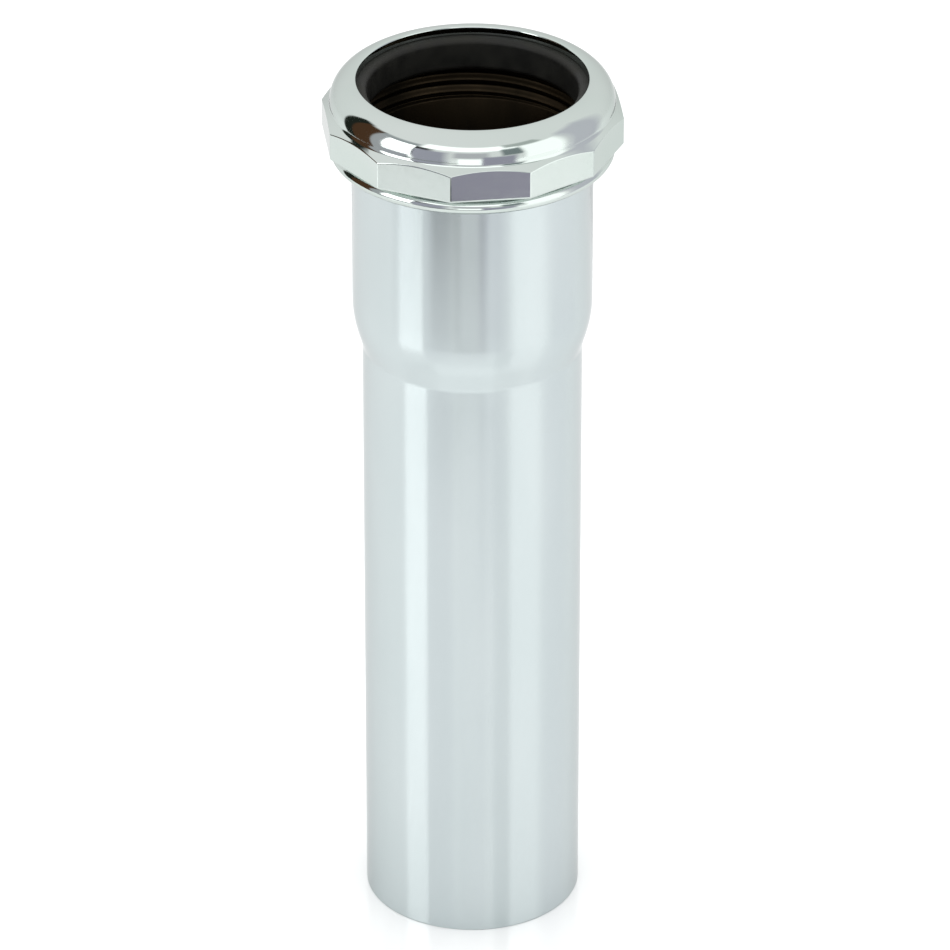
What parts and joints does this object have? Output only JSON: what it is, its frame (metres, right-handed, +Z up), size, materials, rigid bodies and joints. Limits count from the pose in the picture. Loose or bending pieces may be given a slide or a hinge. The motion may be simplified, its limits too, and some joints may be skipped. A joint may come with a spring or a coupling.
{
  "type": "slip-joint drain extension tube",
  "caption": "Chrome-plated brass tube with a belled, threaded end, rubber washer and twelve-sided slip nut that lengthens a sink drain tailpiece.",
  "frame": {"origin": "centre of the plain end's cut face, on the tube's axis", "axes": "+Z up the tube's axis from the plain end to the nut; the nut's upright edges start 8.9 degrees clockwise of +X, seen from above"},
  "size_m": [0.0514, 0.0514, 0.16],
  "materials": {
    "plated_tube": "satin bright chrome plate on drawn brass",
    "plated_nut": "polished chrome plate",
    "black_rubber": "moulded black rubber"
  },
  "bodies": {
    "tube": {"extension_tube": "plated_tube"},
    "washer": {"sealing_washer": "black_rubber"},
    "nut": {"slip_nut": "plated_nut"}
  },
  "joints": [
    {"name": "nut_turn", "type": "hinge", "parent": "tube", "child": "washer", "pos_m": [0, 0, 0.1524], "axis": [0, 0, 1], "range_deg": [0, 900]},
    {"name": "nut_rise", "type": "slide", "parent": "washer", "child": "nut", "axis": [0, 0, 1], "range_m": [0, 0.00553]}
  ],
  "couplings": [
    {"joint": "nut_rise", "follows": "nut_turn", "m_per_rad": 0.00035152}
  ]
}
